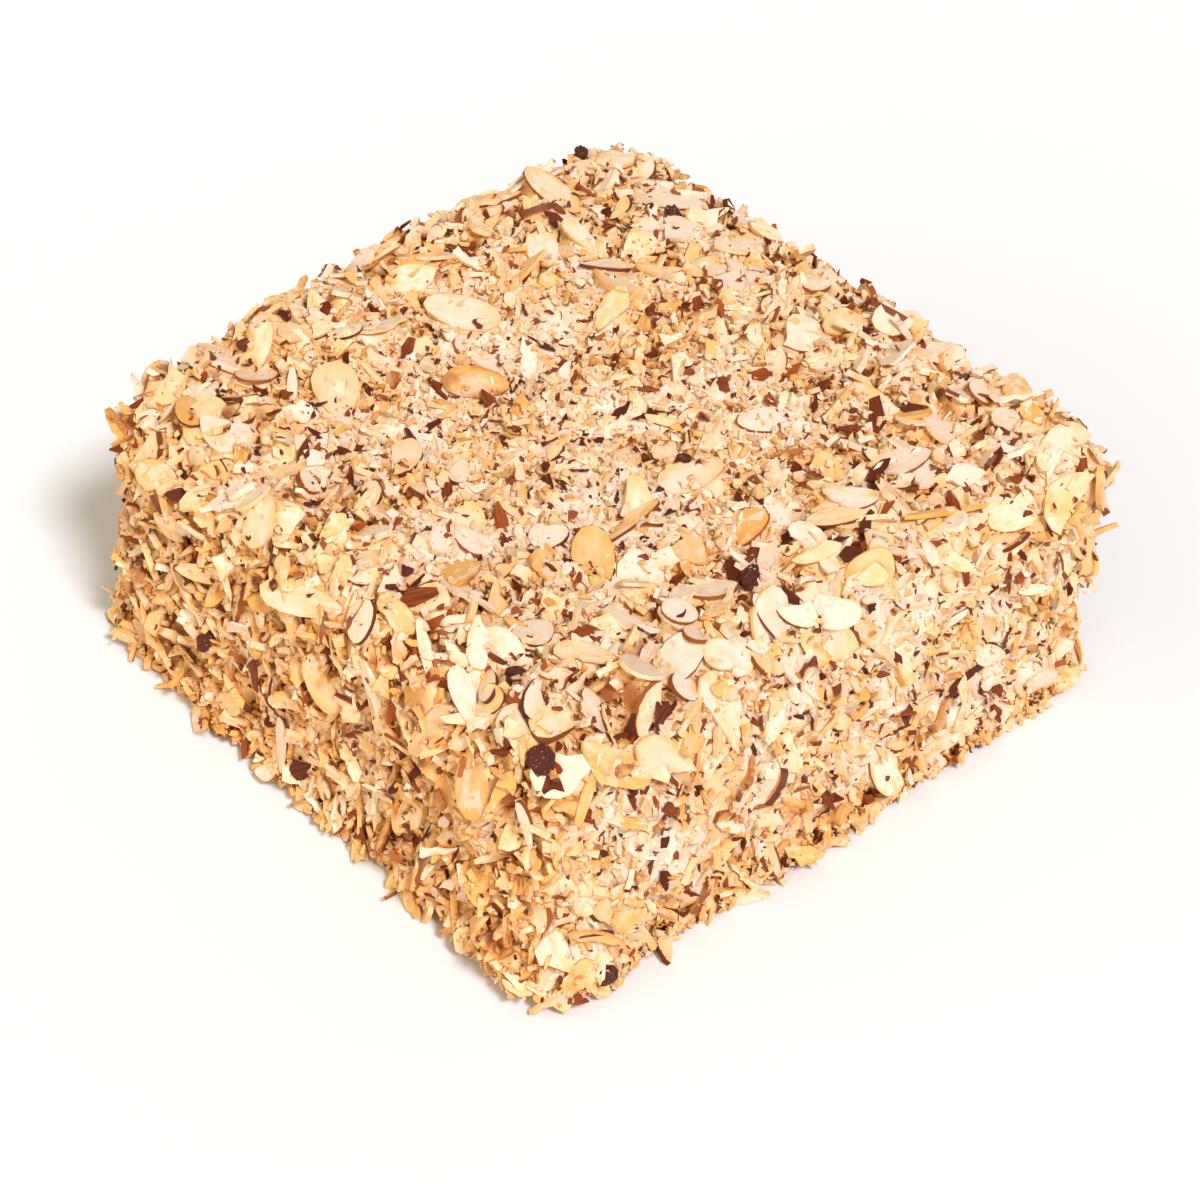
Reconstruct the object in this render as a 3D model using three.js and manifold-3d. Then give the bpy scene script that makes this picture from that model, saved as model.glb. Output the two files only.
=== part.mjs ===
// Almond crunch cake: a square layer cake coated with cream and covered all over with sliced almonds.
// It is uncut, so it is one solid, with the largest almond slices fused to the coating.
// Millimetres, +Z up. The origin is the middle of the flat underside, and the walls face X and Y.

import * as THREE from 'three';
import { mergeVertices } from 'three/addons/utils/BufferGeometryUtils.js';
import Module from 'manifold-3d';

const wasm = await Module();
wasm.setup();

// Driving dimensions of the coated body, without the slices that stand proud of it.
const FOOT_HALF = 102; // half the side at the foot, where cream and crumbs spread a little
const WALL_HALF = 99.5; // half the side in the upper part of the walls
const HEIGHT = 87; // underside to the raised rim of the top
const CORNER_ROUND = 20; // radius of the four upright corners
const EDGE_ROUND = 9; // radius of the edge between the walls and the top
const FOOT_FLARE = 14; // height over which the foot narrows to the wall
const TOP_DISH = 2.5; // how far the middle of the top lies under its rim
const DISH_REACH = [0.35, 0.95]; // shares of WALL_HALF where the dish starts to rise and ends

// The uneven coating: bumps as high as the chips and crumbs that cover it.
const BUMP_HEIGHT = 1.1;
const BUMP_LENGTH = 13;
const SIDE_STEPS = 12;
const WALL_STEPS = 5;
const EDGE_CROWDING = 0.55; // share of the mesh lines that crowd towards the edges

// Almond slices, whole and broken, cut from a nut about this size.
const SLICE_LENGTH = [17, 25];
const SLICE_WIDTH = 0.54; // of the length
const SLICE_TAPER = 0.22; // how much narrower the pointed end is than the blunt one
const SLICE_THICK = 1.2;
const SLICE_CORNERS = 5;
const CORNER_SHIFT = 0.35; // of the angle between two corners, so that no two slices are alike
const BROKEN_SHARE = 0.5; // of the slices have lost their pointed end
const BREAK_AT = 0.18; // of the length, from the middle
const TOP_CELL = 18; // one slice lies in each square cell of this side
const WALL_CELL = 19;
const CELL_MARGIN = 0.2; // a slice's middle stays this share of the cell away from its sides
const TILT = [0.14, 0.4]; // radians from lying flat
const PROUD = 0.28; // of the length times the tilt: how far a slice's middle stands off the coating
const FLOOR_GAP = 0.5; // no slice reaches lower than this
const SEED = 5;

// Repeatable random numbers from 0 to 1.
function seeded(seed) {
  let state = seed;
  return () => {
    state = (state + 0x6d2b79f5) | 0;
    let t = Math.imul(state ^ (state >>> 15), 1 | state);
    t = (t + Math.imul(t ^ (t >>> 7), 61 | t)) ^ t;
    return ((t ^ (t >>> 14)) >>> 0) / 4294967296;
  };
}

const random = seeded(SEED);
const between = (low, high) => low + (high - low) * random();

// Rolling bumps, from -1 to 1, made of crossed waves that never line up.
function bumps(p) {
  const k = (2 * Math.PI) / BUMP_LENGTH;
  const a = Math.sin(k * (p.x + 0.31 * p.y) + 1.7 * Math.sin(0.41 * k * p.z + 0.5 * k * p.y));
  const b = Math.sin(k * (0.83 * p.y - 0.27 * p.x) + 1.9 * Math.sin(0.37 * k * p.x + 0.6 * k * p.z));
  const c = Math.sin(k * (0.91 * p.z + 0.44 * p.x - 0.38 * p.y) + 1.3);
  return (a + b + c) / 3;
}

// Half the side of the body at a height: the foot flares, and the wall above it is upright.
function halfAt(z) {
  const t = THREE.MathUtils.clamp(z / FOOT_FLARE, 0, 1);
  return THREE.MathUtils.lerp(FOOT_HALF, WALL_HALF, Math.sin((t * Math.PI) / 2));
}

// How far the top sinks towards its middle at a place in plan.
function dishAt(x, y) {
  const reach = Math.max(Math.abs(x), Math.abs(y)) / WALL_HALF;
  return TOP_DISH * (1 - THREE.MathUtils.smoothstep(reach, ...DISH_REACH));
}

// Turns the square corner that a vector points into round: its larger side becomes its length.
const rounded = (v) => v.clone().setLength(Math.max(Math.abs(v.x), Math.abs(v.y)));

// Carries a point on the square box round the body to the smooth body, and tells which way it faces.
function onBody(p) {
  const flat = WALL_HALF - CORNER_ROUND;
  const core = new THREE.Vector2(
    THREE.MathUtils.clamp(p.x, -flat, flat),
    THREE.MathUtils.clamp(p.y, -flat, flat),
  );
  const out = rounded(new THREE.Vector2(p.x, p.y).sub(core));
  const way = out.clone().normalize();
  let edge = new THREE.Vector2(out.length() - (CORNER_ROUND - EDGE_ROUND), p.z - (HEIGHT - EDGE_ROUND));
  if (edge.x > 0 && edge.y > 0) edge = rounded(edge);
  const plan = core.addScaledVector(way, edge.x + CORNER_ROUND - EDGE_ROUND);
  plan.multiplyScalar(halfAt(p.z) / WALL_HALF);
  const place = new THREE.Vector3(plan.x, plan.y, edge.y + HEIGHT - EDGE_ROUND);
  if (p.z >= HEIGHT) place.z -= dishAt(plan.x, plan.y);
  const leans = Math.max(edge.x, 0);
  const lifts = Math.max(edge.y, 0);
  const normal = new THREE.Vector3(way.x * leans, way.y * leans, lifts).normalize();
  return { place, normal };
}

// A closed mesh whose shared vertices are merged, as a solid that can be joined.
function solidFrom(geometry) {
  const bare = geometry.clone();
  bare.deleteAttribute('normal');
  bare.deleteAttribute('uv');
  const merged = mergeVertices(bare, 1e-3);
  return new wasm.Manifold(
    new wasm.Mesh({
      numProp: 3,
      vertProperties: merged.attributes.position.array,
      triVerts: new Uint32Array(merged.index.array),
    }),
  );
}

// Mesh lines crowd towards the edges, where the body turns.
const crowded = (t) => THREE.MathUtils.lerp(t, Math.sin((t * Math.PI) / 2), EDGE_CROWDING);

// The cream-coated body: a box whose every point is carried to the rounded, uneven surface.
function coatedBody() {
  const box = new THREE.BoxGeometry(2, 2, 1, SIDE_STEPS, SIDE_STEPS, WALL_STEPS);
  const points = box.attributes.position;
  for (let i = 0; i < points.count; i++) {
    const p = new THREE.Vector3(
      crowded(points.getX(i)) * WALL_HALF,
      crowded(points.getY(i)) * WALL_HALF,
      crowded(points.getZ(i) + 0.5) * HEIGHT,
    );
    const { place, normal } = onBody(p);
    if (p.z > 0) place.addScaledVector(normal, BUMP_HEIGHT * bumps(place));
    points.setXYZ(i, place.x, place.y, Math.max(place.z, 0));
  }
  return solidFrom(box);
}

// One almond slice, lying in XY: the nut's pointed oval, which may be broken off straight at one end.
function almondSlice(length, broken) {
  const outline = [];
  for (let i = 0; i < SLICE_CORNERS; i++) {
    const angle = (2 * Math.PI * (i + CORNER_SHIFT * random())) / SLICE_CORNERS;
    const x = 0.5 * length * Math.cos(angle);
    const y = 0.5 * length * SLICE_WIDTH * Math.sin(angle) * (1 - SLICE_TAPER * Math.cos(angle));
    outline.push(new THREE.Vector2(broken ? Math.min(x, BREAK_AT * length) : x, y));
  }
  const slice = new THREE.ExtrudeGeometry(new THREE.Shape(outline), {
    depth: SLICE_THICK,
    bevelEnabled: false,
    steps: 1,
  });
  return slice.translate(0, 0, -SLICE_THICK / 2);
}

// A slice leaning on the coating at a place, with its low edge pressed in.
function slicePressedInto(place, normal) {
  const length = between(...SLICE_LENGTH);
  const tilt = between(...TILT);
  const slice = almondSlice(length, random() < BROKEN_SHARE);
  slice.rotateZ(between(0, 2 * Math.PI));
  slice.rotateX(tilt);
  slice.rotateZ(between(0, 2 * Math.PI));
  slice.applyQuaternion(new THREE.Quaternion().setFromUnitVectors(new THREE.Vector3(0, 0, 1), normal));
  const off = BUMP_HEIGHT * bumps(place) + PROUD * length * Math.sin(tilt);
  const middle = place.clone().addScaledVector(normal, off);
  slice.translate(middle.x, middle.y, middle.z);
  slice.computeBoundingBox();
  slice.translate(0, 0, Math.max(0, FLOOR_GAP - slice.boundingBox.min.z));
  return solidFrom(slice);
}

// Evenly spread places: one at random in each square cell of a face as wide and high as said.
function cellPlaces(width, height, cell) {
  const across = Math.round(width / cell);
  const up = Math.round(height / cell);
  const places = [];
  for (let i = 0; i < across; i++) {
    for (let j = 0; j < up; j++) {
      const x = (i + between(CELL_MARGIN, 1 - CELL_MARGIN)) / across - 0.5;
      const y = (j + between(CELL_MARGIN, 1 - CELL_MARGIN)) / up;
      places.push([width * x, height * y]);
    }
  }
  return places;
}

function fusedSlices() {
  const slices = [];
  const side = 2 * WALL_HALF;
  for (const [x, y] of cellPlaces(side, side, TOP_CELL)) {
    const { place, normal } = onBody(new THREE.Vector3(x, y - WALL_HALF, HEIGHT));
    slices.push(slicePressedInto(place, normal));
  }
  for (let wall = 0; wall < 4; wall++) {
    const turn = (wall * Math.PI) / 2;
    for (const [along, z] of cellPlaces(side, HEIGHT, WALL_CELL)) {
      const p = new THREE.Vector3(WALL_HALF, along, z).applyAxisAngle(new THREE.Vector3(0, 0, 1), turn);
      const { place, normal } = onBody(p);
      slices.push(slicePressedInto(place, normal));
    }
  }
  return slices;
}

// Joins everything, and keeps the outer skin of the largest body: loose scraps and sealed gaps go.
function joined(solids) {
  const whole = wasm.Manifold.union(solids);
  return whole.decompose().reduce((a, b) => (b.volume() > a.volume() ? b : a));
}

function geometryOf(solid) {
  const { vertProperties, triVerts } = solid.getMesh();
  const geometry = new THREE.BufferGeometry();
  geometry.setAttribute('position', new THREE.BufferAttribute(vertProperties, 3));
  geometry.setIndex(new THREE.BufferAttribute(triVerts, 1));
  // The slices reach out unevenly, so the whole is centred over the origin once it is made.
  geometry.computeBoundingBox();
  const { min, max } = geometry.boundingBox;
  geometry.translate(-(min.x + max.x) / 2, -(min.y + max.y) / 2, -min.z);
  geometry.computeVertexNormals();
  return geometry;
}

const almondCoating = new THREE.MeshStandardMaterial({ color: 0xe9d2a6, roughness: 0.7, metalness: 0 });

const cake = new THREE.Mesh(geometryOf(joined([coatedBody(), ...fusedSlices()])), almondCoating);
cake.name = 'cake';

const part = new THREE.Group();
part.add(cake);

export default part;
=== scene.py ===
"""Almond crunch cake: a cream coat on a square cake, covered with sliced and chopped almonds.

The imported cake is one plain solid. This script lays the real coat over a core of much the same form:
the cream, and a joined mesh for each kind of topping. The pieces are laid one after another on the pile
below them, so that they overlap as thrown and pressed almonds do. Lengths are in metres, and every
random draw is seeded.
"""

import functools
import math
from collections import namedtuple

import bmesh
import bpy
import numpy as np
from mathutils import Matrix, Vector
from mathutils.bvhtree import BVHTree
from mathutils.kdtree import KDTree


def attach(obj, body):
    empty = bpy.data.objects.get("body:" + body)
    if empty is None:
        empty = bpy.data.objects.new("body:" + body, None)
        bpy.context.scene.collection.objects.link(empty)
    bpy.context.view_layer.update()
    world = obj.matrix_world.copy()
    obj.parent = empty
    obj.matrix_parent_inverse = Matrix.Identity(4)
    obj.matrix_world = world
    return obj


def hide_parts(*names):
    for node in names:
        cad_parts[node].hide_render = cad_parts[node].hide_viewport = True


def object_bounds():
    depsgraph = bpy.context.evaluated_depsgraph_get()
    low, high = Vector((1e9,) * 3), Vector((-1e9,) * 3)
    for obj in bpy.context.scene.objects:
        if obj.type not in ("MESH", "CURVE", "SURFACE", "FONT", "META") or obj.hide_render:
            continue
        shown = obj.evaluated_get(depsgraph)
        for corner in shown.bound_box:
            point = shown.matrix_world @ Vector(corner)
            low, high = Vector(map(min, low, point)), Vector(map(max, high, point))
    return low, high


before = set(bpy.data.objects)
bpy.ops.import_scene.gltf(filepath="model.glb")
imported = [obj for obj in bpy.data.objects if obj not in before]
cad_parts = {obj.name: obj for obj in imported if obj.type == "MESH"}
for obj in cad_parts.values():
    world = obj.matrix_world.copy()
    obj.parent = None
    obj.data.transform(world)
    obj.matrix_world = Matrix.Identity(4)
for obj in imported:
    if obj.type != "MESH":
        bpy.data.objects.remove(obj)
cad_low, cad_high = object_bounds()

bl_info = {
    "name": "Almond crunch cake",
    "version": (1, 0, 0),
    "blender": (4, 5, 0),
    "location": "3D View > Sidebar > Cake",
    "description": "Coats a square cake with cream and lays sliced and chopped almonds all over it",
    "category": "Object",
}

MM = 0.001
CAKE_NODE = "cake"
UV_MAP = "OFBake"

CAD_SIDE = min(cad_high[0] - cad_low[0], cad_high[1] - cad_low[1])
CAD_HEIGHT = cad_high[2] - cad_low[2]
COAT_DEPTH = 9.8 * MM  # from the bare body to the tips of the almonds that stand out furthest

# The cream's mesh: a grid for the top, and rings down the walls.
TOP_STEPS = 176
WALL_RINGS = 68
ROOF_REACH = 20 * MM  # the almonds' surface is looked for from this far outside the bare body
MOST_PROUD = 13.4 * MM  # no piece is laid further out than this
UPRIGHT = 1.4  # how much the long pieces on the walls stand upright
DISH_REACH = (0.35, 0.95)  # shares of the half side where the top's dish starts to rise and ends
AT_FLOOR = 0.5 * MM  # points of the cream below this belong to its underside

# The coat is spread by hand. Where it bulges or lies low: X, Y and Z, how far that reaches and how high
# it stands, in mm.
BULGES = (
    (-5, 100, 86, 50, 4.0),
    (86, 98, 86, 18, 3.0),
    (100, 45, 86, 45, -3.5),
    (-98, 98, 80, 28, -4.5),
    (98, -98, 64, 28, 5.0),
    (-98, 40, 4, 14, 2.5),
    (-98, -98, 4, 24, 7.0),
    (-70, -98, 4, 20, -4.0),
)

# Pieces that catch the eye have their own places: X, Y and Z of both ends and the width, in mm, and how
# toasted the piece is, 0 to 1.
MARKED = {
    "slices": (
        (-95, -24, 90, -94, -38, 90, 8, 0.5), (-99, -19, 90, -105, -26, 82, 9, 0.08),
        (-105, 14, 74, -105, -14, 83, 9, 0.25), (-105, -9, 63, -105, -27, 73, 5, 0.05),
        (-105, -29, 78, -105, -32, 60, 7, 0.2), (-96, -55, 90, -105, -69, 88, 6, 0),
        (-89, -61, 90, -97, -71, 90, 6, 0.2), (-105, -48, 60, -105, -63, 83, 9, 0.45),
        (-99, -75, 90, -94, -85, 90, 9, 0.15), (-71, -67, 90, -63, -82, 90, 8, 0.25),
        (-54, -65, 90, -47, -75, 90, 11, 0.15), (-105, -102, 84, -87, -105, 85, 12, 0.1),
        (-84, -105, 90, -73, -105, 69, 12, 0.6), (-73, -105, 83, -59, -105, 63, 11, 0.4),
        (-105, -101, 27, -102, -105, 13, 9, 0.2), (-97, -105, 30, -81, -105, 17, 5, 0.6),
        (-105, -90, 70, -105, -96, 57, 4, 0), (0, -105, 80, 18, -105, 55, 6, 0.55),
        (-9, -100, 90, 3, -105, 84, 9, 0.1), (-15, -93, 90, -12, -103, 90, 9, 0.15),
        (-22, -88, 90, -21, -101, 90, 6, 0), (-57, -96, 90, -48, -105, 89, 7, 0.05),
        (-47, -105, 86, -41, -105, 62, 10, 0.25), (-12, -81, 90, 4, -69, 90, 6, 0),
        (-35, -70, 90, -29, -76, 90, 10, 0.15), (-40, -73, 90, -36, -82, 90, 9, 0.05),
        (-43, -84, 90, -39, -89, 90, 8, 0.1), (-41, -93, 90, -36, -100, 90, 9, 0.15),
        (-3, -82, 90, 10, -88, 90, 5, 0.3), (9, -97, 90, 14, -104, 90, 7, 0.35),
        (55, -101, 90, 67, -105, 80, 13, 0.2), (69, -105, 78, 88, -105, 82, 13, 0.25),
        (84, -80, 90, 90, -83, 90, 9, 0.7), (88, -87, 90, 94, -90, 90, 8, 0.7),
        (18, -72, 90, 33, -77, 90, 9, 0.1), (9, -74, 90, 25, -83, 90, 7, 0.35),
        (38, -69, 90, 55, -73, 90, 13, 0), (62, -54, 90, 66, -64, 90, 8, 0.6),
        (31, -89, 90, 54, -98, 90, 3, 0.6), (75, 96, 90, 85, 81, 90, 10, 0.2),
        (85, 78, 90, 96, 82, 90, 6, 0.25), (80, 68, 90, 85, 51, 90, 12, 0.02),
        (73, 55, 90, 75, 42, 90, 12, 0.02), (77, 35, 90, 90, 25, 90, 9, 0.15),
        (64, 23, 90, 74, 13, 90, 10, 0.1), (42, 55, 90, 52, 44, 90, 9, 0.05),
        (52, 42, 90, 64, 33, 90, 6, 0.55), (48, 99, 90, 65, 95, 90, 8, 0.1),
        (27, 28, 90, 42, 36, 90, 8, 0.45), (-33, -41, 90, -13, -42, 90, 6, 0.65),
        (-47, -28, 90, -38, -34, 90, 11, 0.05), (-8, -36, 90, 11, -40, 90, 11, 0.3),
        (-105, 13, 26, -105, 11, 8, 8, 0.15), (-105, -5, 68, -105, -10, 62, 5, 0.8),
        (-105, 72, 79, -105, 55, 83, 9, 0.45), (-105, 46, 82, -105, 38, 75, 7, 0.5),
        (32, 100, 90, 48, 89, 90, 8, 0.3), (-46, 81, 90, -43, 72, 90, 9, 0.3),
        (-50, 1, 90, -38, 7, 90, 6, 0.2), (26, -31, 90, 41, -35, 90, 9, 0.1),
        (-34, 74, 90, -32, 63, 90, 8, 0.2), (-9, 43, 90, -7, 32, 90, 7, 0.2),
    ),
    "skins": (
        (-92, -27, 90, -83, -35, 90, 5.5, 0.5), (-65, -66, 90, -57, -67, 90, 5, 0.5),
        (-105, -51, 89, -101, -54, 90, 3, 0.5), (-105, -101, 78, -102, -105, 80, 6, 0.5),
        (-67, -105, 55, -64, -105, 44, 4, 0.5), (38, -105, 31, 53, -105, 34, 4, 0.5),
        (43, -105, 26, 55, -105, 26, 3, 0.5), (-68, -105, 87, -59, -104, 90, 7, 0.5),
        (-12, -73, 90, -3, -69, 90, 4, 0.5), (6, -91, 90, 13, -91, 90, 5, 0.5),
        (35, -71, 90, 44, -70, 90, 4, 0.5), (64, -52, 90, 66, -62, 90, 5.5, 0.5),
        (59, -48, 90, 52, -58, 90, 5, 0.5), (64, 23, 90, 63, 17, 90, 4, 0.5),
        (64, 60, 90, 64, 46, 90, 4, 0.5), (6, -9, 90, 16, -14, 90, 5, 0.5),
        (-105, 10, 9, -105, -2, 19, 7, 0.5), (-105, -21, 12, -105, -27, 7, 5, 0.5),
        (-105, -27, 39, -105, -34, 41, 3, 0.5), (-105, 25, 45, -105, 20, 32, 3, 0.5),
        (-105, 15, 41, -105, 12, 34, 2.5, 0.5), (-105, -2, 66, -105, -3, 58, 1.5, 0.5),
        (84, -105, 42, 88, -105, 49, 3, 0.5), (42, -105, 77, 46, -105, 63, 2, 0.5),
        (74, 98, 90, 80, 98, 90, 5, 0.5), (41, -44, 90, 46, -45, 90, 4, 0.5),
        (-30, 15, 90, -24, 12, 90, 3, 0.5), (-85, 21, 90, -79, 20, 90, 3, 0.5),
        (-18, -70, 90, -14, -82, 90, 6, 0.5),
    ),
    "clumps": (
        (-105, -93, 89, -101, -99, 90, 9, 0.5), (-90, -105, 12, -83, -105, 7, 6, 0.5),
        (-13, -77, 90, -19, -83, 90, 6, 0.5), (2, -31, 90, 6, -33, 90, 5, 0.5),
        (76, 99, 90, 79, 96, 90, 6, 0.5), (-86, -64, 90, -82, -69, 90, 5, 0.5),
        (4, -105, 51, 11, -105, 43, 3, 0.5),
    ),
}

THICKEST_MARK = 0.7  # of its width

# The shapes of the pieces.
ALMOND_TAPER = (0.08, 0.26)  # how much narrower a slice is at its pointed end than in its middle
RAGGED = (0.16, 0.1)  # of the step between its points: how far a snapped edge strays, out and along
THINNING = 0.6  # how much thinner a slice may be at one side
CHIP_CORNERS = (0.75, 1)  # how far out the corners of a chip lie in its flattened ball
SKIN_THICK = 0.4 * MM
CURLED_SKIN = 2.4 * MM  # flakes of skin longer than this are bent and ragged, and the others are specks
CLUMP_WAVES = ((0.2, 0.6), (0.09, 0.2))  # large and small lumps: how high and how long, for a width of 1
SHARP_ANGLE = 38  # degrees: facets that meet at more than this keep a sharp edge
FLOOR_GAP = 0.2 * MM  # no almond reaches lower than this

# The look of a piece comes from the cell that it has on its UV map. Columns go from pale to toasted.
CELLS = 24
CELL_FILL = 0.42  # of the cell: radius of the circle that a piece's outline fills there
SIDE_SPREAD = 1.14  # the thin side of a slice is spread outside its outline

# How toasted the almonds are, 0 to 1.
TONES = np.array([0.43, 0.17, 0.5, 0.6])  # on the middle of the top, its rim, the walls and the foot
TONE_CHANGE = 0.14  # those on the rim are this much paler towards +X -Y, and darker towards -X +Y
TONE_SPREAD = 0.19  # of the pieces round the tone of their place
CREAM_PALES = 0.15  # pieces that lie in cream are this much less toasted
ODD_TONE = (0.2, 0.7)  # how much more toasted the odd pieces are

# How the four regions pass into each other.
TOP_FACING = (0.35, 0.8)  # how much a point faces up, from the walls to the top
MIDDLE_ENDS = (0.42, 0.8)  # shares of the half side, from the middle of the top to its rim
FOOT_FADE = 3.0 * MM  # height over which the foot passes into the walls

# How much cream lies between the almonds, 0 to 1.
CREAMY_WALL = 0.45
CREAMY_FACING = (0.12, -0.3)  # how much more the walls at +X and +Y have
CREAMY_TOP = (0.64, 0.4)  # the middle of the top, and how much less its rim has
CREAMY_ENDS = (0.35, 0.75)  # shares of the half side between those two
CREAMY_WAVES = (0.3, 40 * MM)  # how uneven it is, and how long the waves are

# The cream's level under the almonds' surface.
ROUGH_RISE = 0.5  # of the pile's roughness: how far its surface lies over its evened-out height
DRY_GAP = (0.85, 1.15)  # without cream: a depth in mm, and a share of the roughness
CREAMY_GAP = (0.8, 1.0)  # how much of both goes where it is full of cream
BARE_WAVES = (0.5 * MM, 15 * MM)  # relief of the bare body, and how long its waves are
LEVEL_WAVES = (0.3 * MM, 3 * MM)  # the same for the cream
FOOT_GAP = 1.8 * MM  # the cream lies this much further back at the foot, where crumbs stick to it
FOOT_TUCK = 5.0 * MM  # how far the cream may draw in at the floor, under the crumbs
# Painted shade: the cream and the pieces are tinted darker the deeper they lie in the pile's gaps.
GAP_SHADE_DEPTH = (0.8 * MM, 4.4 * MM)  # the gap where the cream starts to darken, and where it is darkest
PIECE_SHADE_DEPTH = (-0.2 * MM, 3.2 * MM)  # the same for the pieces, by how far they lie under the surface
SMEAR_REACH = (0.2 * MM, 1.4 * MM)  # heights over the cream where its film on a piece thins out and ends
DRY_SMEAR = 0.3  # how thick that film still is where there is little cream
DROWNED = 0.1 * MM  # a piece stays if no more than this lies between its top and the cream over it

# The lamps: the turn from the camera and the height of each, how wide it is, in degrees, and its colour.
LAMPS = {
    "key": (28, 51, 12, (1, 0.98, 1.06)),
    "fill": (-55, 30, 75, (1, 0.86, 0.62)),
    "bounce": (-25, 7, 40, (1, 0.72, 0.38)),
}
SKY = (1, 0.92, 0.8, 1)
LAMP_DISTANCE = 1.2
FLOOR_HALF = 3


def smooth_step(values, low, high):
    """Rises smoothly from 0 at low to 1 at high."""
    t = np.clip((values - low) / (high - low), 0, 1)
    return t * t * (3 - 2 * t)


# ----------------------------------------
# Settings


def length_setting(name, description, default):
    """A length that the user can change, with its usual value."""
    return bpy.props.FloatProperty(name=name, description=description, default=default, unit="LENGTH")


def angle_setting(name, description, degrees):
    """An angle that the user can change, with its usual value."""
    return bpy.props.FloatProperty(
        name=name, description=description, default=math.radians(degrees), subtype="ANGLE"
    )


def strength_setting(name, description, default):
    """The strength of a light, which the user can change."""
    return bpy.props.FloatProperty(name=name, description=description, default=default, min=0)


def count_setting(name, description, default):
    """A whole number that the user can change, with its usual value."""
    return bpy.props.IntProperty(name=name, description=description, default=default)


def colour_setting(name, description, default):
    """A colour that the user can change, with its usual value."""
    return bpy.props.FloatVectorProperty(
        name=name, description=description, default=default, subtype="COLOR", min=0, max=1
    )


class CakeBody(bpy.types.PropertyGroup):
    """Sizes of the cream-coated body, without its almonds."""

    side: length_setting("Side", "Width of the walls above the foot", CAD_SIDE - 2 * COAT_DEPTH)
    height: length_setting("Height", "Underside to the rim of the top", CAD_HEIGHT - COAT_DEPTH)
    corner: length_setting("Corner radius", "Radius of the four upright corners", 15 * MM)
    edge: length_setting("Edge radius", "Radius between the walls and the top", 9 * MM)
    foot_spread: length_setting("Foot spread", "How far the foot stands out beyond the walls", 4.5 * MM)
    foot_height: length_setting("Foot height", "Height over which the foot narrows to the wall", 14 * MM)
    dish: length_setting("Dish", "How far the middle of the top lies under its rim", 2.5 * MM)


class CakeToppings(bpy.types.PropertyGroup):
    """How many pieces of each kind of topping are thrown on. Some of them end up under the cream."""

    slices: count_setting("Slices", "Whole and nearly whole slices", 90)
    shards: count_setting("Shards", "Large broken pieces of slices", 2400)
    flakes: count_setting("Flakes", "Small broken pieces of slices", 5600)
    slivers: count_setting("Slivers", "Narrow splinters", 4200)
    chips: count_setting("Chips", "Chopped granules", 6500)
    clumps: count_setting("Clumps", "Dark lumps of burnt crumb", 5)
    skins: count_setting("Skin flakes", "Flakes of brown skin", 4700)
    crumbs: count_setting("Crumbs", "Fine crumbs, most along the foot", 10500)
    seed: count_setting("Seed", "Another seed lays the pieces elsewhere", 11)


class CakeColours(bpy.types.PropertyGroup):
    """Colours of the cream and of the almonds."""

    cream: colour_setting("Cream", "Whipped cream", (0.95, 0.82, 0.69))
    pale: colour_setting("Pale", "Raw almond flesh", (0.94, 0.75, 0.575))
    ivory: colour_setting("Ivory", "Dry almond flesh", (0.9, 0.61, 0.3))
    honey: colour_setting("Honey", "Almond flesh soaked by the cream", (0.85, 0.45, 0.12))
    amber: colour_setting("Amber", "Soaked flesh that lets the light through", (0.86, 0.46, 0.07))
    toasted: colour_setting("Toasted", "The most toasted flesh", (0.4, 0.12, 0.025))
    skin: colour_setting("Skin", "Brown almond skin", (0.1, 0.018, 0.006))
    clump: colour_setting("Clump", "Burnt crumb", (0.085, 0.025, 0.016))
    skin_light: colour_setting("Light skin", "Skin where it is thin", (0.36, 0.085, 0.018))
    # Painted light: glow is a painted warm glow on what lies a little under the top of the pile, and shade
    # is painted shade on what lies deep among the almonds.
    glow: colour_setting("Glow", "Tint of what lies a little under the top of the pile", (0.98, 0.81, 0.47))
    shade: colour_setting("Shade", "Tint of what lies deep among the almonds", (0.4, 0.14, 0.025))
    floor: colour_setting("Floor", "The plain floor", (0.9, 0.92, 0.92))


class CakeStage(bpy.types.PropertyGroup):
    """Where the camera stands and how bright the lights are."""

    azimuth: angle_setting("Azimuth", "Turn of the view about the upright axis", -40.8)
    elevation: angle_setting("Elevation", "How far the camera looks down", 41.8)
    distance: length_setting("Distance", "Camera to the point it looks at", 1.0054)
    lens: bpy.props.FloatProperty(
        name="Lens", description="Focal length for a sensor 36 mm wide", default=106.2, unit="CAMERA"
    )
    aim: bpy.props.FloatVectorProperty(
        name="Aim",
        description="The point that the camera looks at",
        default=(-0.0041, -0.0070, 0.0257),
        subtype="TRANSLATION",
    )
    key: strength_setting("Key light", "Strength of the main light", 2.6)
    fill: strength_setting("Fill light", "Strength of the fill light", 1.0)
    bounce: strength_setting("Bounced light", "Strength of the warm low light", 0.4)
    sky: strength_setting("Room light", "Strength of the light all round", 0.36)


# ----------------------------------------
# The cream's form


def rounded(offset):
    """Turns the square corner that each 2-D offset points into round: its larger side becomes its length."""
    reach = np.abs(offset).max(1, keepdims=True)
    length = np.linalg.norm(offset, axis=1, keepdims=True)
    return offset * reach / np.maximum(length, 1e-12)


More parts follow.
